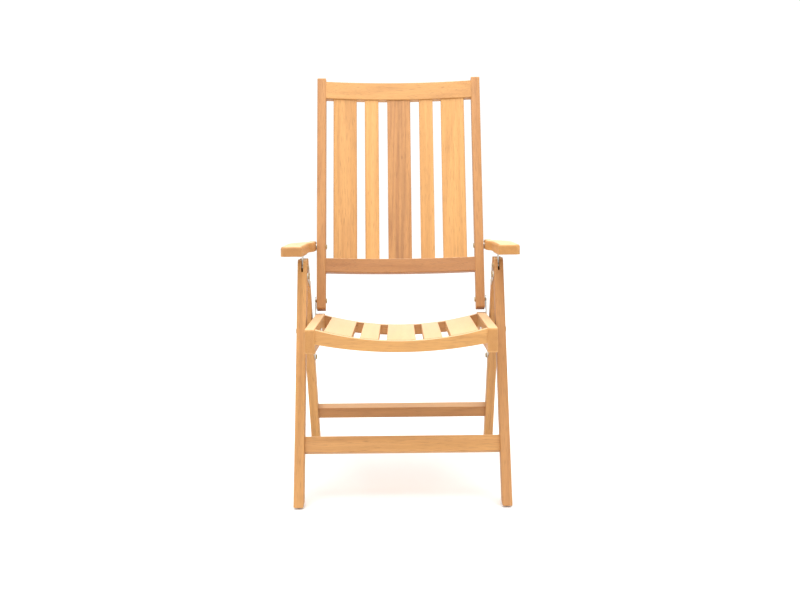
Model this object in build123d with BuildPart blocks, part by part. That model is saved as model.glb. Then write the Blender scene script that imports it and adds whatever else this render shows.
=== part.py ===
from build123d import *
from math import asin, cos, radians, sin, tan
import os

os.makedirs("parts", exist_ok=True)

# Folding, reclining teak deck chair. Its front is towards -Y and +Z is up, so +X is on the right
# of someone who stands before the chair and looks at it.
# Side positions are (reach back from the front foot, height above the floor).

# Driving angles
front_lean = radians(27.0)
rear_lean = radians(31.5)
back_lean = radians(20.5)
seat_drop = radians(3.8)
arm_drop = radians(3.4)

# Pivot positions in side view
latch_pivot = (303.0, 552.0)
leg_hinge_below_latch = 26.0
seat_pivot_below_latch = 172.0
back_pivot = (438.0, 445.0)
arm_pivot_up_back = 150.0
link_pivot_down_leg = 314.0
link_boss_behind = 58.0
link_boss_below = 20.0

# Frame sizes
front_leg_x = (239.5, 263.5)
front_leg_deep = 42.0
rear_leg_x = (237.5, 261.5)
rear_leg_deep = 40.0
rear_leg_offset = 41.5
fold_gap = 0.6
glide_high = 5.0
glide_radius = 9.0
glide_chamfer = 1.0
ease = 2.0
floor_cut = (1200.0, 400.0)
front_bar_long = 700.0
rear_bar_below = 800.0
rear_bar_above = 40.0
mitre_cut = 100.0
rebate_below = 72.0
rebate_above = 48.0
strap_slot_deep = 20.0
strap_slot_long = 60.0

# Cross rails of the two leg frames
front_rail_height = 136.0
front_rail_tall = 40.0
rear_rail_height = 106.0
rear_rail_tall = 38.0
rail_thick = 22.0

# Seat
seat_rail_x = (204.0, 228.0)
seat_front_top = 440.0
seat_long = 446.0
seat_rail_tall = 60.0
seat_corner = 8.0
seat_dish = 28.0
seat_slat_thick = 16.0
seat_cross_thick = 25.0
seat_cross_drop = 3.0
seat_cross_tall = 34.0
seat_under_dish = 20.0
seat_cross_inset = 3.0
seat_rear_inset = 12.0
seat_slat_sunk = 0.5
seat_heel = (18.0, 0.8)
slat_cutter = 120.0
seat_slats = ((-151.5, 67.0), (-76.5, 45.0), (0.0, 70.0), (76.5, 45.0), (151.5, 67.0))

# Back
stile_x = (201.5, 225.5)
stile_deep = 36.0
stile_below = 25.0
stile_long_up = 632.0
stile_corner = 4.0
back_bow = 16.0
back_rail_thick = 22.0
bottom_rail_span = (76.5, 115.5)
top_rail_span = (572.0, 622.0)
back_slats = ((-149.0, 64.0), (-75.5, 38.0), (0.0, 64.0), (75.5, 38.0), (149.0, 64.0))
back_slat_thick = 13.0
slat_setback = 4.0
back_rail_setback = 2.0

# Arms
arm_thick = 25.0
arm_front = (131.0, 610.5)
arm_long = 383.0
arm_outer_x = 293.0
arm_inner_x = 240.0
tongue_x = (228.2, 250.0)
arm_outer_straight = 165.0
arm_outer_curve = ((284.0, 245.0), (260.0, 300.0))
arm_inner_straight = 225.0
arm_inner_curve = (232.5, 262.0)
tongue_outer_start = 338.0
tongue_inner_start = 300.0
arm_corner = 16.0
arm_edge = 7.0

# Steel parts
bolt_radius = 4.0
running_gap = 0.06
head_radius = 6.0
head_thick = 3.0
head_dome = 0.9
wide_head_radius = 6.5
seat_head_thick = 2.5
seat_spacer_radius = 8.0
nut_radius = 7.0
nut_thick = 4.0
nut_gap = 0.02
thread_end = 3.5
washer_radius = 10.0
screw_radius = 2.5
screw_hole = 2.6
screw_head_radius = 4.2
screw_head_thick = 1.2
plate_thick = 2.0
leg_plate_round = 11.0
leg_plate_edge = 8.0
leg_plate_screws = (-52.0, -24.0)
back_plate_thick = 2.5
back_plate_round = 12.0
back_plate_outline = ((4.0, 26.0), (20.0, 44.0), (44.0, 40.0), (40.0, 12.0))
back_plate_screws = ((15.0, 14.0), (32.0, 32.0))
back_bolt_stub = 0.8
link_thick = 2.9
link_wide = 18.0
boss_radius = 7.0
boss_stud_radius = 3.5
side_gap = 0.3
strap_thick = 4.0
strap_half = 8.0
strap_waist = 4.0
pin_radius = 3.0
pin_neck_radius = 2.0
pin_long = 12.0
collar_gap = 0.2
notch_count = 5
notch_pitch = 18.4
notch_play = 0.4
recess_end = 13.0
pin_above_underside = 6.6
rack_face = 10.8
rack_deep = 17.0
rack_wide = 14.0
rack_play = 0.2
keeper_thick = 2.5
keeper_wide = 20.0
keeper_past_recess = 14.0
keeper_slot = (5.4, 2.0)
keeper_screw_past = 7.0
slot_wide = 4.6


def along(point, angle, distance):
    """Point reached by going up a line that leans back by angle."""
    return (point[0] + sin(angle) * distance, point[1] + cos(angle) * distance)


def behind(point, angle, distance):
    """Point reached by going backwards, square to a line that leans back by angle."""
    return (point[0] + cos(angle) * distance, point[1] - sin(angle) * distance)


leg_hinge = along(latch_pivot, front_lean, -leg_hinge_below_latch)
seat_pivot = along(latch_pivot, front_lean, -seat_pivot_below_latch)
arm_pivot = along(back_pivot, back_lean, arm_pivot_up_back)
rear_line = behind(leg_hinge, -rear_lean, rear_leg_offset)
link_pivot = along(rear_line, -rear_lean, -link_pivot_down_leg)
link_boss = (seat_pivot[0] + link_boss_behind, seat_pivot[1] - link_boss_below)
rear_face = behind(rear_line, -rear_lean, rear_leg_deep / 2)
rear_toe = rear_face[0] + (rear_face[1] - glide_high) * tan(rear_lean)
front_face = behind(latch_pivot, front_lean, -front_leg_deep / 2)
front_toe = front_face[0] - (front_face[1] - glide_high) * tan(front_lean)
seat_nose = (
    seat_corner * cos(seat_drop) - (seat_rail_tall - seat_corner) * sin(seat_drop) - seat_corner
)
y_mid = (rear_toe + seat_nose) / 2
pin_reach = (latch_pivot[0] - arm_front[0]) / cos(arm_drop)


def side(x):
    """Side-view sketch plane at lateral position x, with the reach and the height as its axes."""
    return Plane(origin=(x, -y_mid, 0), x_dir=(0, 1, 0), z_dir=(1, 0, 0))


def low(sign, span):
    """Lower X of a lateral span on the right (sign 1) or the left (sign -1)."""
    return span[0] if sign > 0 else -span[1]


def width(span):
    return span[1] - span[0]


def seat_point(reach, height):
    """Side-view point at a distance along the seat's top line and a height over it."""
    return (
        reach * cos(seat_drop) + height * sin(seat_drop),
        seat_front_top - reach * sin(seat_drop) + height * cos(seat_drop),
    )


def seat_section(reach, height=0.0):
    """Cross-section plane of the seat: X across, local Y square to the seat, normal to the front."""
    point = seat_point(reach, height)
    return Plane(
        origin=(0, point[0] - y_mid, point[1]),
        x_dir=(1, 0, 0),
        z_dir=(0, -cos(seat_drop), sin(seat_drop)),
    )


def back_section(up):
    """Cross-section plane of the back: X across, local Y to the rear, normal up the back."""
    point = along(back_pivot, back_lean, up)
    return Plane(
        origin=(0, point[0] - y_mid, point[1]),
        x_dir=(1, 0, 0),
        z_dir=(0, sin(back_lean), cos(back_lean)),
    )


def arm_point(reach, height):
    """Side-view point at a distance behind the arm's front end and a height over its underside."""
    offset = height - arm_thick / 2
    return (
        arm_front[0] + reach * cos(arm_drop) + offset * sin(arm_drop),
        arm_front[1] - reach * sin(arm_drop) + offset * cos(arm_drop),
    )


def arm_plane(height):
    """Plan plane of the arms: X across, local Y backwards along the arm, normal up."""
    point = arm_point(0, height)
    return Plane(
        origin=(0, point[0] - y_mid, point[1]),
        x_dir=(1, 0, 0),
        z_dir=(0, sin(arm_drop), cos(arm_drop)),
    )


latch_pin = arm_point(pin_reach, pin_above_underside)
strap_rise = ((latch_pin[0] - latch_pivot[0]) ** 2 + (latch_pin[1] - latch_pivot[1]) ** 2) ** 0.5


def dish_radius(chord_half, sag):
    return (chord_half**2 + sag**2) / (2 * sag)


def lean_polygon(start, angle, length, half):
    """Corners of a straight member that runs up from start and leans back by angle."""
    top = along(start, angle, length)
    return [
        behind(start, angle, -half),
        behind(start, angle, half),
        behind(top, angle, half),
        behind(top, angle, -half),
    ]


def export(piece, name):
    piece.part.label = name
    export_step(piece.part, "parts/" + name + ".step")


# Front legs: straight bars with a rounded, slotted head around the latch bolt
leg_centre_toe = along(latch_pivot, front_lean, -front_bar_long)
for sign, name in ((1, "front_leg_right"), (-1, "front_leg_left")):
    with BuildPart() as leg:
        with BuildSketch(side(low(sign, front_leg_x))):
            with BuildLine():
                Polyline(
                    *lean_polygon(leg_centre_toe, front_lean, front_bar_long, front_leg_deep / 2), close=True
                )
            make_face()
            with Locations(latch_pivot):
                Circle(front_leg_deep / 2)
            with Locations((0, glide_high - floor_cut[1] / 2)):
                Rectangle(*floor_cut, mode=Mode.SUBTRACT)
        extrude(amount=width(front_leg_x))
        fillet(leg.faces().filter_by(Axis.X).edges(), ease)
        slot_x = sign * sum(front_leg_x) / 2 - slot_wide / 2
        with BuildSketch(side(slot_x)):
            with BuildLine():
                Polyline(
                    *lean_polygon(
                        along(latch_pivot, front_lean, -strap_slot_deep),
                        front_lean, strap_slot_long, strap_slot_long / 2,
                    ),
                    close=True,
                )
            make_face()
        extrude(amount=slot_wide, mode=Mode.SUBTRACT)
        with BuildSketch(side(low(sign, front_leg_x))):
            with Locations(latch_pivot, leg_hinge, seat_pivot):
                Circle(bolt_radius + running_gap)
        extrude(amount=width(front_leg_x), mode=Mode.SUBTRACT)
    export(leg, name)


def cross_rail(centre, angle, tall, half_wide):
    """Straight rail across the chair that leans with its legs."""
    with BuildPart() as rail:
        with BuildSketch(side(-half_wide)):
            with BuildLine():
                Polyline(
                    *lean_polygon(along(centre, angle, -tall / 2), angle, tall, rail_thick / 2),
                    close=True,
                )
            make_face()
        extrude(amount=2 * half_wide)
        fillet(rail.edges().filter_by(Axis.X), ease)
    return rail


# Front cross rail between the front legs
front_rail_centre = along(latch_pivot, front_lean, -(latch_pivot[1] - front_rail_height) / cos(front_lean))
export(cross_rail(front_rail_centre, front_lean, front_rail_tall, front_leg_x[0]), "front_cross_rail")

# Rear legs: mitred top ends that stop against the backs of the front legs
for sign, name in ((1, "rear_leg_right"), (-1, "rear_leg_left")):
    rebate_x = (rear_leg_x[0], front_leg_x[0] - side_gap)
    with BuildPart() as leg:
        with BuildSketch(side(low(sign, rear_leg_x))):
            with BuildLine():
                Polyline(
                    *lean_polygon(
                        along(rear_line, -rear_lean, -rear_bar_below),
                        -rear_lean, rear_bar_below + rear_bar_above, rear_leg_deep / 2,
                    ),
                    close=True,
                )
            make_face()
            with BuildLine():
                Polyline(
                    *lean_polygon(
                        along(behind(leg_hinge, front_lean, -mitre_cut), front_lean, -2 * mitre_cut),
                        front_lean, rear_bar_below, mitre_cut + front_leg_deep / 2 + fold_gap,
                    ),
                    close=True,
                )
            make_face(mode=Mode.SUBTRACT)
            with Locations((rear_toe, glide_high - floor_cut[1] / 2)):
                Rectangle(*floor_cut, mode=Mode.SUBTRACT)
        extrude(amount=width(rear_leg_x))
        fillet(leg.faces().filter_by(Axis.X).edges(), ease)
        with BuildSketch(side(low(sign, rebate_x))):
            with BuildLine():
                Polyline(
                    *lean_polygon(
                        along(rear_line, -rear_lean, -rebate_below),
                        -rear_lean, rebate_below + rebate_above, rear_leg_deep,
                    ),
                    close=True,
                )
            make_face()
        extrude(amount=width(rebate_x), mode=Mode.SUBTRACT)
        with BuildSketch(side(low(sign, rear_leg_x))):
            with Locations(link_pivot):
                Circle(bolt_radius + running_gap)
        extrude(amount=width(rear_leg_x), mode=Mode.SUBTRACT)
    export(leg, name)

# Rear cross rail
rear_rail_centre = along(rear_line, -rear_lean, -(rear_line[1] - rear_rail_height) / cos(rear_lean))
export(cross_rail(rear_rail_centre, -rear_lean, rear_rail_tall, rear_leg_x[0]), "rear_cross_rail")

# Round plastic glides under the four feet
front_foot_centre = front_toe + front_leg_deep / cos(front_lean) / 2
rear_foot_centre = rear_toe - rear_leg_deep / cos(rear_lean) / 2
for name, reach, span in (
    ("front_glides", front_foot_centre, front_leg_x),
    ("rear_glides", rear_foot_centre, rear_leg_x),
):
    with BuildPart() as glides:
        with BuildSketch(Plane.XY):
            with Locations((sum(span) / 2, reach - y_mid), (-sum(span) / 2, reach - y_mid)):
                Circle(glide_radius)
        extrude(amount=glide_high)
        chamfer(glides.edges().group_by(Axis.Z)[0], glide_chamfer)
    export(glides, name)


def headed_bolts(point, x_head, x_end, x_grip, radius=bolt_radius, flange=head_radius):
    """A pair of bolts across the sides: dome head from x_head to x_grip, shank to x_end."""
    with BuildPart() as bolts:
        for sign in (1, -1):
            shank = (min(x_head, x_end), max(x_head, x_end))
            head = (min(x_head, x_grip), max(x_head, x_grip))
            with BuildSketch(side(low(sign, shank))):
                with Locations(point):
                    Circle(radius)
            extrude(amount=width(shank))
            with BuildSketch(side(low(sign, head))):
                with Locations(point):
                    Circle(flange)
            extrude(amount=width(head))
        flats = bolts.faces().filter_by(Axis.X)
        head_faces = [face for face in flats if abs(abs(face.center().X) - x_head) < side_gap / 2]
        chamfer([edge for face in head_faces for edge in face.edges()], head_dome)
    return bolts


def side_rounds(point, span, radius, bore=0.0):
    """A pair of round pieces across the sides, bored through where bore isn't zero."""
    with BuildPart() as rounds:
        for sign in (1, -1):
            with BuildSketch(side(low(sign, span))):
                with Locations(point):
                    Circle(radius)
                    if bore:
                        Circle(bore, mode=Mode.SUBTRACT)
            extrude(amount=width(span))
    return rounds


def side_screws(points, x_cap, x_seat, x_end):
    """Screws across both sides: flat head from x_cap to x_seat, shank on to x_end."""
    with BuildPart() as screws:
        for sign in (1, -1):
            for radius, x_stop in ((screw_radius, x_end), (screw_head_radius, x_seat)):
                span = (min(x_cap, x_stop), max(x_cap, x_stop))
                with BuildSketch(side(low(sign, span))):
                    with Locations(*points):
                        Circle(radius)
                extrude(amount=width(span))
    return screws


plate_x = (front_leg_x[0] - side_gap - plate_thick, front_leg_x[0] - side_gap)
link_x = (rear_leg_x[0] - side_gap - link_thick, rear_leg_x[0] - side_gap)
hinge_head = plate_x[0] - side_gap

# Latch bolts and leg hinge bolts, both with their heads on the inner sides of the front legs
export(
    headed_bolts(latch_pivot, front_leg_x[0] - head_thick, front_leg_x[1], front_leg_x[0]), "latch_bolts"
)
export(headed_bolts(leg_hinge, hinge_head - head_thick, front_leg_x[1], hinge_head), "leg_hinge_bolts")

# Seat pivot bolts: head outside the leg, shank through leg and seat rail, spacer ring between them
seat_bolts = headed_bolts(
    seat_pivot, front_leg_x[1] + seat_head_thick, seat_rail_x[0] - thread_end, front_leg_x[1],
    flange=wide_head_radius,
)
export(seat_bolts, "seat_pivot_bolts")
seat_spacer_x = (seat_rail_x[1] + side_gap, front_leg_x[0])
export(
    side_rounds(seat_pivot, seat_spacer_x, seat_spacer_radius, bolt_radius + running_gap),
    "seat_pivot_spacers",
)
with BuildPart() as seat_nuts:
    for sign in (1, -1):
        nut = (seat_rail_x[0] - side_gap - nut_thick, seat_rail_x[0] - side_gap)
        with BuildSketch(side(low(sign, nut))):
            with Locations(seat_pivot):
                RegularPolygon(nut_radius, 6)
                Circle(bolt_radius + nut_gap, mode=Mode.SUBTRACT)
        extrude(amount=width(nut))
export(seat_nuts, "seat_pivot_nuts")

# Steel hinge plates let into the inner faces of the rear legs, turning on the leg hinge bolts
for_screws = [along(rear_line, -rear_lean, reach) for reach in leg_plate_screws]
plate_root = for_screws[0]
with BuildPart() as plates:
    for sign in (1, -1):
        with BuildSketch(side(low(sign, plate_x))):
            with BuildLine():
                Polyline(
                    leg_hinge,
                    along(leg_hinge, -rear_lean, -leg_plate_round),
                    behind(plate_root, -rear_lean, -leg_plate_round),
                    behind(plate_root, -rear_lean, leg_plate_round),
                    behind(rear_line, -rear_lean, leg_plate_edge),
                    along(leg_hinge, -rear_lean, leg_plate_edge),
                    close=True,
                )
            make_face()
            with Locations(leg_hinge, plate_root):
                Circle(leg_plate_round)
            with Locations(leg_hinge):
                Circle(bolt_radius + running_gap, mode=Mode.SUBTRACT)
            with Locations(*for_screws):
                Circle(screw_hole, mode=Mode.SUBTRACT)
        extrude(amount=plate_thick)
export(plates, "leg_hinge_plates")
export(
    side_screws(for_screws, plate_x[0] - screw_head_thick, plate_x[0], plate_x[1]),
    "leg_hinge_plate_screws",
)

# Link pivot bolts in the rear legs, and the stay links that draw the rear legs in
export(
    headed_bolts(link_pivot, link_x[0] - side_gap - head_thick, rear_leg_x[1], link_x[0] - side_gap,
                 flange=wide_head_radius),
    "link_bolts",
)
link_middle = ((link_pivot[0] + link_boss[0]) / 2, (link_pivot[1] + link_boss[1]) / 2)
with BuildPart() as links:
    for sign in (1, -1):
        with BuildSketch(side(low(sign, link_x))):
            SlotCenterPoint(link_middle, link_boss, link_wide)
            with Locations(link_pivot, link_boss):
                Circle(bolt_radius + running_gap, mode=Mode.SUBTRACT)
        extrude(amount=width(link_x))
export(links, "stay_links")
export(side_rounds(link_boss, link_x, bolt_radius), "stay_link_rivets")

# Seat side rails
for sign, name in ((1, "seat_rail_right"), (-1, "seat_rail_left")):
    with BuildPart() as rail:
        with BuildSketch(side(low(sign, seat_rail_x))):
            with BuildLine():
                Polyline(
                    seat_point(0, 0),
                    seat_point(seat_long, 0),
                    seat_point(seat_long, -seat_rail_tall * seat_heel[1]),
                    seat_point(seat_long - seat_heel[0], -seat_rail_tall),
                    seat_point(0, -seat_rail_tall),
                    close=True,
                )
            make_face()
            fillet(vertices(), seat_corner)
        extrude(amount=width(seat_rail_x))
        fillet(rail.faces().filter_by(Axis.X).edges(), ease)
        with BuildSketch(side(low(sign, seat_rail_x))):
            with Locations(seat_pivot):
                Circle(bolt_radius + running_gap)
            with Locations(link_boss):
                Circle(boss_stud_radius + running_gap)
        extrude(amount=width(seat_rail_x), mode=Mode.SUBTRACT)
    export(rail, name)

# Dished front and rear seat rails
dish = dish_radius(seat_rail_x[0], seat_dish)
cross_top = -seat_cross_drop
cross_low = cross_top - seat_cross_tall
slat_front = seat_cross_thick + seat_cross_inset
slat_rear = seat_long - seat_rear_inset - seat_cross_thick
for name, reach in (("seat_front_rail", slat_front), ("seat_rear_rail", seat_long - seat_rear_inset)):
    with BuildPart() as cross:
        with BuildSketch(seat_section(reach)):
            with BuildLine():
                top = ThreePointArc(
                    (-seat_rail_x[0], cross_top), (0, cross_top - seat_dish), (seat_rail_x[0], cross_top)
                )
                Line(top @ 1, (seat_rail_x[0], cross_low))
                ThreePointArc(
                    (seat_rail_x[0], cross_low), (0, cross_low - seat_under_dish),
                    (-seat_rail_x[0], cross_low),
                )
                Line((-seat_rail_x[0], cross_low), top @ 0)
            make_face()
        extrude(amount=seat_cross_thick)
    export(cross, name)

# Five fore-and-aft seat slats that follow the dish
for index, (centre, wide) in enumerate(seat_slats):
    with BuildPart() as slat:
        with BuildSketch(seat_section(slat_rear)):
            with Locations((0, cross_top - seat_dish + dish)):
                Circle(dish + seat_slat_thick - seat_slat_sunk)
                Circle(dish - seat_slat_sunk, mode=Mode.SUBTRACT)
            with Locations((centre, (cross_top + cross_low) / 2)):
                Rectangle(wide, slat_cutter, mode=Mode.INTERSECT)
        extrude(amount=slat_rear - slat_front)
        fillet(slat.edges().filter_by(Axis((0, 0, 0), (0, cos(seat_drop), -sin(seat_drop)))), ease)
    export(slat, f"seat_slat_{index + 1}")

# Back hinge plates on the rear ends of the seat rails, with their pivot bolts
hinge_plate_x = (seat_rail_x[1], seat_rail_x[1] + back_plate_thick)
plate_screws_at = [seat_point(seat_long - reach, -drop) for reach, drop in back_plate_screws]
with BuildPart() as back_plates:
    for sign in (1, -1):
        with BuildSketch(side(low(sign, hinge_plate_x))):
            with BuildLine():
                Polyline(
                    (back_pivot[0] - back_plate_round, back_pivot[1]),
                    (back_pivot[0] + back_plate_round, back_pivot[1]),
                    *[seat_point(seat_long - reach, -drop) for reach, drop in back_plate_outline],
                    close=True,
                )
            make_face()
            with Locations(back_pivot):
                Circle(back_plate_round)
                Circle(bolt_radius + running_gap, mode=Mode.SUBTRACT)
            with Locations(*plate_screws_at):
                Circle(screw_hole, mode=Mode.SUBTRACT)
        extrude(amount=width(hinge_plate_x))
export(back_plates, "back_hinge_plates")
export(
    side_screws(
        plate_screws_at, hinge_plate_x[1] + screw_head_thick, hinge_plate_x[1], hinge_plate_x[0]
    ),
    "back_hinge_plate_screws",
)

# Stay bosses: spacers on the seat rails whose ends face the stay links' upper rivets
with BuildPart() as bosses:
    for sign in (1, -1):
        for radius, start in ((boss_radius, seat_rail_x[1]), (boss_stud_radius, seat_rail_x[0])):
            span = (start, link_x[0] - side_gap)
            with BuildSketch(side(low(sign, span))):
                with Locations(link_boss):
                    Circle(radius)
            extrude(amount=width(span))
export(bosses, "stay_bosses")

# Back pivot bolts: head on the stile's inner face, shank through stile, washer gap and hinge plate
back_bolts = headed_bolts(
    back_pivot, stile_x[0] - side_gap - head_thick, hinge_plate_x[1] + back_bolt_stub,
    stile_x[0] - side_gap, flange=wide_head_radius,
)
export(back_bolts, "back_pivot_bolts")

# Back stiles
for sign, name in ((1, "back_stile_right"), (-1, "back_stile_left")):
    with BuildPart() as stile:
        with BuildSketch(side(low(sign, stile_x))):
            with BuildLine():
                Polyline(
                    *lean_polygon(
                        along(back_pivot, back_lean, -stile_below),
                        back_lean, stile_below + stile_long_up, stile_deep / 2,
                    ),
                    close=True,
                )
            make_face()
            fillet(vertices(), stile_corner)
        extrude(amount=width(stile_x))
        fillet(stile.faces().filter_by(Axis.X).edges(), ease)
        with BuildSketch(side(low(sign, stile_x))):
            with Locations(back_pivot, arm_pivot):
                Circle(bolt_radius + running_gap)
        extrude(amount=width(stile_x), mode=Mode.SUBTRACT)
    export(stile, name)

# Bowed back rails: front face hollow to the sitter
back_rail_front = -stile_deep / 2 + back_rail_setback
rail_rear = back_rail_front + back_rail_thick
for name, span in (("back_bottom_rail", bottom_rail_span), ("back_top_rail", top_rail_span)):
    with BuildPart() as cross:
        with BuildSketch(back_section(span[0])):
            with BuildLine():
                front = ThreePointArc(
                    (-stile_x[0], back_rail_front), (0, back_rail_front + back_bow),
                    (stile_x[0], back_rail_front),
                )
                Line(front @ 1, (stile_x[0], rail_rear))
                ThreePointArc(
                    (stile_x[0], rail_rear), (0, rail_rear + back_bow), (-stile_x[0], rail_rear)
                )
                Line((-stile_x[0], rail_rear), front @ 0)
            make_face()
        extrude(amount=span[1] - span[0])
        fillet(
            cross.faces().filter_by(Axis((0, 0, 0), (0, sin(back_lean), cos(back_lean)))).edges()
            .filter_by(GeomType.CIRCLE),
            ease,
        )
    export(cross, name)

# Five upright back slats set a little behind the rails' front faces
bow = dish_radius(stile_x[0], back_bow)
for index, (centre, wide) in enumerate(back_slats):
    with BuildPart() as slat:
        with BuildSketch(back_section(bottom_rail_span[1])):
            with Locations((0, back_rail_front + back_bow - bow)):
                Circle(bow + slat_setback + back_slat_thick)
                Circle(bow + slat_setback, mode=Mode.SUBTRACT)
            with Locations((centre, 0)):
                Rectangle(wide, slat_cutter, mode=Mode.INTERSECT)
        extrude(amount=top_rail_span[0] - bottom_rail_span[1])
        fillet(slat.edges().filter_by(Axis((0, 0, 0), (0, sin(back_lean), cos(back_lean)))), ease)
    export(slat, f"back_slat_{index + 1}")

# Arm pivot bolts and washers on the stiles; the shank stops at the washer face
export(
    headed_bolts(arm_pivot, stile_x[0] - head_thick, stile_x[1], stile_x[0], flange=wide_head_radius),
    "arm_pivot_bolts",
)
export(side_rounds(arm_pivot, (stile_x[1], tongue_x[0] - side_gap), washer_radius), "arm_washers")

# Arms: wide over the legs, curving in to a tongue beside each stile
recess_front = pin_reach - (notch_count - 1) * notch_pitch - recess_end
recess_rear = pin_reach + recess_end
recess_long = recess_rear - recess_front
recess_middle = (recess_front + recess_rear) / 2
leg_mid_x = sum(front_leg_x) / 2
for sign, name in ((1, "arm_right"), (-1, "arm_left")):
    with BuildPart() as arm:
        with BuildSketch(arm_plane(0)):
            with BuildLine():
                Polyline(
                    (sign * arm_inner_x, 0), (sign * arm_outer_x, 0), (sign * arm_outer_x, arm_outer_straight)
                )
                Spline(
                    (sign * arm_outer_x, arm_outer_straight),
                    *[(sign * x, reach) for x, reach in arm_outer_curve],
                    (sign * tongue_x[1], tongue_outer_start),
                    tangents=((0, 1), (0, 1)),
                )
                Polyline(
                    (sign * tongue_x[1], tongue_outer_start), (sign * tongue_x[1], arm_long),
                    (sign * tongue_x[0], arm_long), (sign * tongue_x[0], tongue_inner_start),
                )
                Spline(
                    (sign * tongue_x[0], tongue_inner_start),
                    (sign * arm_inner_curve[0], arm_inner_curve[1]),
                    (sign * arm_inner_x, arm_inner_straight),
                    tangents=((0, -1), (0, -1)),
                )
                Line((sign * arm_inner_x, arm_inner_straight), (sign * arm_inner_x, 0))
            make_face()
            front_corner = vertices().sort_by(Axis.Y)[:2].sort_by(Axis.X)
            fillet(front_corner[-1 if sign > 0 else 0], arm_corner)
        extrude(amount=arm_thick)
        fillet(arm.edges().group_by(Axis((0, 0, 0), (0, sin(arm_drop), cos(arm_drop))))[-1], arm_edge)
        with BuildSketch(arm_plane(0)):
            with Locations((sign * leg_mid_x, recess_middle)):
                Rectangle(rack_wide + rack_play, recess_long)
        extrude(amount=rack_deep + rack_play / 2, mode=Mode.SUBTRACT)
    export(arm, name)

# Notched racks at the top of the recess, with five notches each
with BuildPart() as racks:
    for sign in (1, -1):
        with BuildSketch(side(sign * leg_mid_x - rack_wide / 2)):
            with BuildLine():
                Polyline(
                    arm_point(recess_front + rack_play, rack_face),
                    arm_point(recess_rear - rack_play, rack_face),
                    arm_point(recess_rear - rack_play, rack_deep),
                    arm_point(recess_front + rack_play, rack_deep),
                    close=True,
                )
            make_face()
            for notch in range(notch_count):
                with Locations(arm_point(pin_reach - notch * notch_pitch, rack_face)):
                    Circle(pin_radius + notch_play, mode=Mode.SUBTRACT)
        extrude(amount=rack_wide)
export(racks, "notch_racks")

# Keeper plates that hold the latch pins in the recess, each with a long slot and two screws
keeper_screw_reaches = (recess_front - keeper_screw_past, recess_rear + keeper_screw_past)
keeper_screws_at = [(sign * leg_mid_x, reach) for sign in (1, -1) for reach in keeper_screw_reaches]
with BuildPart() as keepers:
    with BuildSketch(arm_plane(-keeper_thick)):
        with Locations((leg_mid_x, recess_middle), (-leg_mid_x, recess_middle)):
            Rectangle(keeper_wide, recess_long + 2 * keeper_past_recess)
            Rectangle(keeper_slot[0], recess_long - 2 * keeper_slot[1], mode=Mode.SUBTRACT)
        with Locations(*keeper_screws_at):
            Circle(screw_hole, mode=Mode.SUBTRACT)
    extrude(amount=keeper_thick)
export(keepers, "keeper_plates")
with BuildPart() as keeper_screws:
    for radius, start, long in (
        (screw_radius, -keeper_thick, keeper_thick),
        (screw_head_radius, -keeper_thick - screw_head_thick, screw_head_thick),
    ):
        with BuildSketch(arm_plane(start)):
            with Locations(*keeper_screws_at):
                Circle(radius)
        extrude(amount=long)
export(keeper_screws, "keeper_screws")

# Latch straps in the leg slots and the cross pins on their upper ends
strap_angle = asin((latch_pin[0] - latch_pivot[0]) / strap_rise)
with BuildPart() as straps:
    for sign in (1, -1):
        with BuildSketch(side(sign * leg_mid_x - strap_thick / 2)):
            with BuildLine():
                Polyline(*lean_polygon(latch_pivot, strap_angle, strap_rise, strap_waist), close=True)
            make_face()
            with Locations(latch_pivot):
                Circle(strap_half)
            with Locations(latch_pin):
                Circle(strap_waist)
            with Locations(latch_pivot):
                Circle(bolt_radius + running_gap, mode=Mode.SUBTRACT)
            with Locations(latch_pin):
                Circle(pin_neck_radius + running_gap, mode=Mode.SUBTRACT)
        extrude(amount=strap_thick)
export(straps, "latch_straps")
with BuildPart() as pins:
    for sign in (1, -1):
        with BuildSketch(side(sign * leg_mid_x - pin_long / 2)):
            with Locations(latch_pin):
                Circle(pin_neck_radius)
        extrude(amount=pin_long)
        collars = (
            sign * leg_mid_x - pin_long / 2,
            sign * leg_mid_x + strap_thick / 2 + collar_gap,
        )
        for start in collars:
            with BuildSketch(side(start)):
                with Locations(latch_pin):
                    Circle(pin_radius)
            extrude(amount=pin_long / 2 - strap_thick / 2 - collar_gap)
export(pins, "latch_pins")
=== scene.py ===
import bpy
from math import cos, pi, radians, sin
from mathutils import Matrix, Vector


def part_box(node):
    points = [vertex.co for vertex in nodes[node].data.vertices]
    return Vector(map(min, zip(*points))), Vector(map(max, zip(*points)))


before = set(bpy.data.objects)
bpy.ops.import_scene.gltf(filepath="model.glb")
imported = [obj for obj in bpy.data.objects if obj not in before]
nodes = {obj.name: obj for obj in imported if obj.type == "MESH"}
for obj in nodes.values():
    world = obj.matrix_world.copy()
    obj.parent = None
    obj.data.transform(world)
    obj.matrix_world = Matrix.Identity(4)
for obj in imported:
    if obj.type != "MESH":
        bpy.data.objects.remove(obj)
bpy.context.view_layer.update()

# Lean of each run of boards, in degrees up from straight back (+Y)
FRONT_LEG, REAR_LEG, BACK, SEAT, ARM = 63.0, 121.5, 69.5, -3.8, -4.0

# Half sizes of the marks in the boards, in metres: across the grain and along it
KNOT_WIDE, KNOT_LONG = 0.0035, 0.011
CRACK_WIDE = 0.0007
MARK_DEPTH = 0.012

# Stage, in metres, millimetres for the lens and degrees
FLOOR_HALF = 14.0
SKY_STRENGTH = 1.08
SENSOR, LENS = 36.0, 58.05
EYE = (-0.002, -3.3404, 0.9331)
TIP_DOWN, ROLL = 8.074, -0.6


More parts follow.
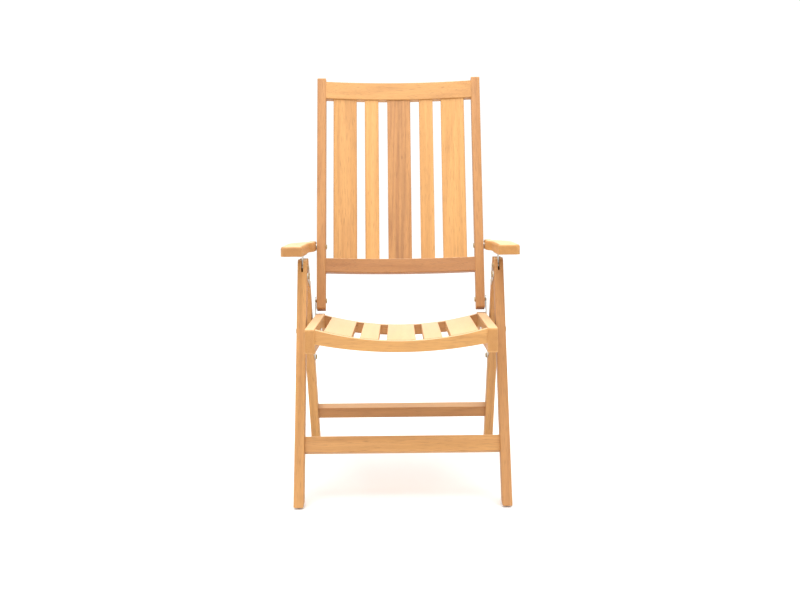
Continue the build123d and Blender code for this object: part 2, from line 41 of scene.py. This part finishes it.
class Tree:
    """A material's nodes, added and linked in one call each."""

    def __init__(self, name):
        self.material = bpy.data.materials.new(name)
        self.material.use_nodes = True
        self.nodes = self.material.node_tree.nodes
        self.links = self.material.node_tree.links
        self.nodes.clear()
        self.out = self.nodes.new("ShaderNodeOutputMaterial")
        self.bsdf = self.nodes.new("ShaderNodeBsdfPrincipled")
        self.links.new(self.bsdf.outputs[0], self.out.inputs[0])

    def add(self, kind, values=(), **settings):
        node = self.nodes.new("ShaderNode" + kind)
        for key, value in settings.items():
            setattr(node, key, value)
        for socket, value in dict(values).items():
            if isinstance(value, bpy.types.NodeSocket):
                self.links.new(value, node.inputs[socket])
            else:
                node.inputs[socket].default_value = value
        return node

    def math(self, operation, a, b=0.0, clamp=False):
        return self.add("Math", {0: a, 1: b}, operation=operation, use_clamp=clamp).outputs[0]

    def ramp(self, value, stops, ease="LINEAR"):
        node = self.add("ValToRGB", {0: value})
        node.color_ramp.interpolation = ease
        elements = node.color_ramp.elements
        while len(elements) < len(stops):
            elements.new(0.5)
        for element, (at, colour) in zip(elements, stops):
            element.position = at
            element.color = (*colour, 1.0)
        return node.outputs[0]

    def mix(self, factor, a, b, blend="MIX"):
        node = self.add("Mix", {0: factor, 6: a, 7: b}, data_type="RGBA", blend_type=blend)
        return node.outputs[2]

    def noise(self, vector, scale, detail=2.0, rough=0.5, distort=0.0):
        return self.add("TexNoise", {
            "Vector": vector, "Scale": scale, "Detail": detail,
            "Roughness": rough, "Distortion": distort,
        }).outputs[0]

    def stretch(self, vector, across, length, shift=0.0):
        return self.add("Mapping", {
            "Vector": vector,
            "Scale": (across, length, across),
            "Location": (shift, shift * 0.7, shift * 1.3),
        }).outputs[0]


def grey(value):
    return (value, value, value)


def teak(name, angle, light, dark, seed, across=False, heart=0.0, streak=0.0, knots=(), cracks=()):
    """Oiled teak with its grain along one board. angle is the board's lean in the YZ plane."""
    t = Tree(name)
    coord = t.add("TexCoord")
    turn = (0, 0, pi / 2) if across else (-radians(angle), 0, 0)
    board = t.add("Mapping", {"Vector": coord.outputs["Object"], "Rotation": turn}).outputs[0]
    along = (1, 0, 0) if across else (0, cos(radians(angle)), sin(radians(angle)))
    shift = seed * 3.17

    # growth rings: contour lines of a stretched noise, drifting across the board
    slow = t.noise(t.stretch(board, 11.0, 0.9, shift), 1.0, 2.0, 0.45, 0.25)
    parts = t.add("SeparateXYZ", {0: board})
    drift = t.math("MULTIPLY", parts.outputs[0], 62.0)
    rise = t.math("MULTIPLY", parts.outputs[2], 21.0)
    phase = t.math("ADD", t.math("MULTIPLY", slow, 15.0 + heart * 14.0), t.math("ADD", drift, rise))
    rings = t.math("ADD", t.math("MULTIPLY", t.math("SINE", t.math("MULTIPLY", phase, 2.6)), 0.5), 0.5)
    late = t.math("POWER", rings, 2.6)

    fibre = t.noise(t.stretch(board, 620.0, 16.0, shift), 1.0, 3.0, 0.6)
    pores = t.noise(t.stretch(board, 1050.0, 34.0, shift + 5.0), 1.0, 1.0, 0.4)
    pore_mask = t.ramp(pores, ((0.60, grey(0.0)), (0.70, grey(1.0))))
    patch = t.noise(t.stretch(board, 22.0, 2.2, shift + 9.0), 1.0, 3.0, 0.55)
    sweep = t.noise(t.stretch(board, 75.0, 1.3, shift + 2.0), 1.0, 2.0, 0.5)

    colour = t.mix(t.math("MULTIPLY", late, 0.36 + heart * 0.25), (*light, 1.0), (*dark, 1.0))
    broad = t.ramp(patch, ((0.32, grey(0.0)), (0.70, grey(1.0))), "EASE")
    colour = t.mix(t.math("MULTIPLY", broad, 0.24), colour, (*dark, 1.0))
    pale = tuple(min(1.0, c * 1.12 + 0.02) for c in light)
    bands = t.ramp(sweep, ((0.42, grey(0.0)), (0.64, grey(1.0))), "EASE")
    colour = t.mix(t.math("MULTIPLY", bands, 0.30 + streak), colour, (*pale, 1.0))
    fine = t.ramp(fibre, ((0.30, grey(0.86)), (0.68, grey(1.04))))
    colour = t.mix(0.85, colour, fine, "MULTIPLY")
    deep = tuple(c * 0.42 for c in dark)
    colour = t.mix(t.math("MULTIPLY", pore_mask, 0.42), colour, (*deep, 1.0))
    if heart:
        core = t.noise(t.stretch(board, 34.0, 1.7, shift + 21.0), 1.0, 2.0, 0.5)
        core = t.ramp(core, ((0.50, grey(0.0)), (0.60, grey(1.0)), (0.72, grey(0.0))), "EASE")
        colour = t.mix(t.math("MULTIPLY", core, heart * 0.5), colour, (*[c * 0.62 for c in dark], 1.0))
    marks = [(place, KNOT_WIDE, KNOT_LONG) for place in knots]
    marks += [(place, CRACK_WIDE, long / 2) for place, long in cracks]
    for place, wide, tall in marks:
        centre = Matrix.Rotation(-radians(angle), 3, "X") @ Vector(place)
        away = t.add("Mapping", {
            "Vector": board,
            "Location": tuple(-c / s for c, s in zip(centre, (wide, tall, MARK_DEPTH))),
            "Scale": (1 / wide, 1 / tall, 1 / MARK_DEPTH),
        }).outputs[0]
        distance = t.add("VectorMath", {0: away}, operation="LENGTH").outputs["Value"]
        spot = t.ramp(distance, ((0.35, grey(1.0)), (1.0, grey(0.0))), "EASE")
        colour = t.mix(t.math("MULTIPLY", spot, 0.75), colour, (*[c * 0.30 for c in dark], 1.0))

    # faces that look up get a painted top-light highlight: a pale cream tone, patchy in places
    up = t.add("SeparateXYZ", {0: coord.outputs["Normal"]}).outputs[2]
    painted_top_light = t.ramp(up, ((0.72, grey(0.0)), (0.97, grey(1.0))), "EASE")
    painted_top_light = t.math("MULTIPLY", painted_top_light, t.math("ADD", t.math("MULTIPLY", patch, 0.3), 0.48))
    colour = t.mix(painted_top_light, colour, (*TOP_HIGHLIGHT_TONE, 1.0))

    # end grain is darker and drinks more oil
    facing = t.add("VectorMath", {0: coord.outputs["Normal"], 1: along}, operation="DOT_PRODUCT")
    end = t.math("ABSOLUTE", facing.outputs["Value"])
    end = t.ramp(end, ((0.75, grey(0.0)), (0.95, grey(1.0))))
    speck = t.noise(board, 900.0, 2.0, 0.6)
    end_colour = t.mix(speck, (*[c * 0.60 for c in dark], 1.0), (*[c * 1.15 for c in dark], 1.0))
    colour = t.mix(t.math("MULTIPLY", end, 0.55), colour, end_colour)
    t.links.new(colour, t.bsdf.inputs["Base Color"])

    # handling wear: some places smoother, some dry
    wear = t.noise(t.stretch(board, 16.0, 3.0, shift + 31.0), 1.0, 4.0, 0.6)
    rough = t.math("ADD", t.math("MULTIPLY", wear, 0.26), t.math("MULTIPLY", fibre, 0.14))
    rough = t.math("ADD", rough, t.math("ADD", t.math("MULTIPLY", end, 0.16), 0.34), clamp=True)
    t.links.new(rough, t.bsdf.inputs["Roughness"])
    t.bsdf.inputs["Specular IOR Level"].default_value = 0.55
    height = t.math("ADD", t.math("MULTIPLY", fibre, 0.55), t.math("MULTIPLY", late, 0.18))
    height = t.math("SUBTRACT", height, t.math("MULTIPLY", pore_mask, 0.45))
    height = t.math("ADD", height, t.math("MULTIPLY", patch, 0.5))
    bump = t.add("Bump", {"Strength": 0.45, "Distance": 0.0005, "Height": height})
    t.links.new(bump.outputs[0], t.bsdf.inputs["Normal"])
    return t.material


def steel(name, tone, rough, seed):
    """Satin stainless steel with a fine brushed grain, dulled in places."""
    t = Tree(name)
    coord = t.add("TexCoord").outputs["Object"]
    brush = t.noise(t.stretch(coord, 1800.0, 120.0, seed), 1.0, 2.0, 0.6)
    stain = t.noise(coord, 140.0 + seed, 4.0, 0.6)
    tint = t.ramp(stain, ((0.35, tone), (0.75, tuple(c * 0.80 for c in tone))))
    tint = t.mix(t.math("MULTIPLY", brush, 0.22), tint, (*[c * 0.72 for c in tone], 1.0))
    t.links.new(tint, t.bsdf.inputs["Base Color"])
    t.bsdf.inputs["Metallic"].default_value = 1.0
    value = t.math("ADD", t.math("MULTIPLY", stain, 0.18), t.math("MULTIPLY", brush, 0.10))
    t.links.new(t.math("ADD", value, rough), t.bsdf.inputs["Roughness"])
    bump = t.add("Bump", {"Strength": 0.25, "Distance": 0.0001, "Height": brush})
    t.links.new(bump.outputs[0], t.bsdf.inputs["Normal"])
    return t.material


def plastic(name):
    """Moulded black nylon glide, scuffed grey underneath."""
    t = Tree(name)
    coord = t.add("TexCoord").outputs["Object"]
    grain = t.noise(coord, 1500.0, 3.0, 0.6)
    scuff = t.noise(coord, 260.0, 4.0, 0.65)
    tint = t.ramp(scuff, ((0.40, (0.022, 0.021, 0.020)), (0.75, (0.075, 0.070, 0.062))))
    t.links.new(tint, t.bsdf.inputs["Base Color"])
    t.links.new(t.math("ADD", t.math("MULTIPLY", scuff, 0.3), 0.4), t.bsdf.inputs["Roughness"])
    bump = t.add("Bump", {"Strength": 0.3, "Distance": 0.0002, "Height": grain})
    t.links.new(bump.outputs[0], t.bsdf.inputs["Normal"])
    return t.material


def dress(node, material):
    mesh = nodes[node].data
    for index in range(max(1, len(mesh.materials))):
        if index < len(mesh.materials):
            mesh.materials[index] = material
        else:
            mesh.materials.append(material)


HONEY, HONEY_DARK = (0.530, 0.262, 0.076), (0.365, 0.153, 0.040)
BROWN, BROWN_DARK = (0.450, 0.210, 0.064), (0.315, 0.122, 0.034)
GOLD, GOLD_DARK = (0.575, 0.292, 0.084), (0.430, 0.188, 0.050)
GREY, GREY_DARK = (0.475, 0.222, 0.068), (0.310, 0.124, 0.038)
DEEP, DEEP_DARK = (0.385, 0.168, 0.050), (0.275, 0.105, 0.030)
# pale cream painted onto up-facing faces as a painted top-light highlight
TOP_HIGHLIGHT_TONE = (0.84, 0.575, 0.335)

# Lean, light and dark tone, whether the grain runs across the chair, heartwood, pale streaks
BOARDS = {
    "front_leg_left": (FRONT_LEG, HONEY, HONEY_DARK, False, 0.0, 0.10),
    "front_leg_right": (FRONT_LEG, BROWN, BROWN_DARK, False, 0.0, 0.0),
    "rear_leg_left": (REAR_LEG, GOLD, GOLD_DARK, False, 0.0, 0.0),
    "rear_leg_right": (REAR_LEG, HONEY, HONEY_DARK, False, 0.0, 0.10),
    "front_cross_rail": (0, HONEY, HONEY_DARK, True, 0.0, 0.05),
    "rear_cross_rail": (0, BROWN, BROWN_DARK, True, 0.0, 0.0),
    "seat_rail_left": (SEAT, GOLD, GOLD_DARK, False, 0.2, 0.0),
    "seat_rail_right": (SEAT, GOLD, GOLD_DARK, False, 0.2, 0.1),
    "seat_front_rail": (0, GOLD, GOLD_DARK, True, 0.2, 0.0),
    "seat_rear_rail": (0, BROWN, BROWN_DARK, True, 0.0, 0.0),
    "back_stile_left": (BACK, BROWN, BROWN_DARK, False, 0.0, 0.0),
    "back_stile_right": (BACK, BROWN, BROWN_DARK, False, 0.0, 0.05),
    "back_top_rail": (0, HONEY, HONEY_DARK, True, 0.0, 0.0),
    "back_bottom_rail": (0, DEEP, DEEP_DARK, True, 0.0, 0.0),
    "back_slat_1": (BACK, HONEY, HONEY_DARK, False, 0.1, 0.0),
    "back_slat_2": (BACK, GOLD, GOLD_DARK, False, 0.0, 0.25),
    "back_slat_3": (BACK, GREY, GREY_DARK, False, 0.8, 0.0),
    "back_slat_4": (BACK, GOLD, GOLD_DARK, False, 0.0, 0.10),
    "back_slat_5": (BACK, GOLD, GOLD_DARK, False, 0.1, 0.0),
    "seat_slat_1": (SEAT, HONEY, HONEY_DARK, False, 0.2, 0.0),
    "seat_slat_2": (SEAT, GOLD, GOLD_DARK, False, 0.0, 0.1),
    "seat_slat_3": (SEAT, GOLD, HONEY_DARK, False, 0.3, 0.0),
    "seat_slat_4": (SEAT, HONEY, HONEY_DARK, False, 0.0, 0.0),
    "seat_slat_5": (SEAT, GOLD, GOLD_DARK, False, 0.1, 0.1),
    "arm_left": (ARM, HONEY, HONEY_DARK, False, 0.2, 0.0),
    "arm_right": (ARM, GOLD, GOLD_DARK, False, 0.1, 0.0),
}


def on_board(node, across, up):
    """Point in a board's middle plane: fractions of its box across and up."""
    lowest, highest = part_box(node)
    return tuple(a + (b - a) * f for a, b, f in zip(lowest, highest, (across, up, up)))


MARKS = {
    "back_slat_3": {"knots": [on_board("back_slat_3", 0.62, 0.63)]},
    "back_slat_1": {"cracks": [(on_board("back_slat_1", 0.20, 0.10), 0.085)]},
}
for number, (node, (angle, light, dark, across, heart, streak)) in enumerate(BOARDS.items()):
    material = teak("teak_" + node, angle, light, dark, number + 1.0, across, heart, streak,
                    **MARKS.get(node, {}))
    dress(node, material)

satin = steel("satin_steel", (0.66, 0.63, 0.57), 0.26, 3.0)
dull = steel("yellowed_steel", (0.50, 0.385, 0.215), 0.36, 7.0)
black = plastic("black_glide")
for node in nodes:
    if node in BOARDS:
        continue
    if "glides" in node:
        dress(node, black)
    elif "bolt" in node or "screw" in node:
        dress(node, dull)
    else:
        dress(node, satin)

# Floor and light
mesh = bpy.data.meshes.new("floor")
corners = [(x * FLOOR_HALF, y * FLOOR_HALF, 0) for x, y in ((-1, -1), (1, -1), (1, 1), (-1, 1))]
mesh.from_pydata(corners, [], [(0, 1, 2, 3)])
floor = bpy.data.objects.new("floor", mesh)
bpy.context.scene.collection.objects.link(floor)
t = Tree("pale_floor")
cloud = t.noise(t.add("TexCoord").outputs["Object"], 0.6, 2.0)
t.links.new(t.ramp(cloud, ((0.3, grey(0.93)), (0.7, grey(0.96)))), t.bsdf.inputs["Base Color"])
t.bsdf.inputs["Roughness"].default_value = 0.9
mesh.materials.append(t.material)

world = bpy.data.worlds.new("studio")
world.use_nodes = True
world.node_tree.nodes["Background"].inputs[0].default_value = (1.0, 1.0, 1.0, 1.0)
world.node_tree.nodes["Background"].inputs[1].default_value = SKY_STRENGTH
bpy.context.scene.world = world


def lamp(name, place, target, size, watts, tint=(1.0, 1.0, 1.0)):
    data = bpy.data.lights.new(name, "AREA")
    data.shape = "RECTANGLE"
    data.size, data.size_y = size
    data.energy = watts
    data.color = tint
    item = bpy.data.objects.new(name, data)
    item.location = place
    item.rotation_euler = (Vector(target) - Vector(place)).to_track_quat("-Z", "Y").to_euler()
    bpy.context.scene.collection.objects.link(item)


lamp("top_box", (0.1, -0.3, 3.2), (0, 0, 0.4), (3.0, 3.0), 100.0, (1.0, 0.99, 0.95))
lamp("front_box", (-1.5, -3.6, 2.2), (0, 0, 0.5), (2.4, 2.0), 28.0)

# Camera 3 m in front of the front feet, tipped down and rolled a little
data = bpy.data.cameras.new("camera")
data.sensor_width = SENSOR
data.lens = LENS
camera = bpy.data.objects.new("camera", data)
camera.matrix_world = (
    Matrix.Translation(EYE)
    @ Matrix.Rotation(radians(90.0 - TIP_DOWN), 4, "X")
    @ Matrix.Rotation(radians(ROLL), 4, "Z")
)
bpy.context.scene.collection.objects.link(camera)
bpy.context.scene.camera = camera
bpy.context.scene.view_settings.view_transform = "Standard"
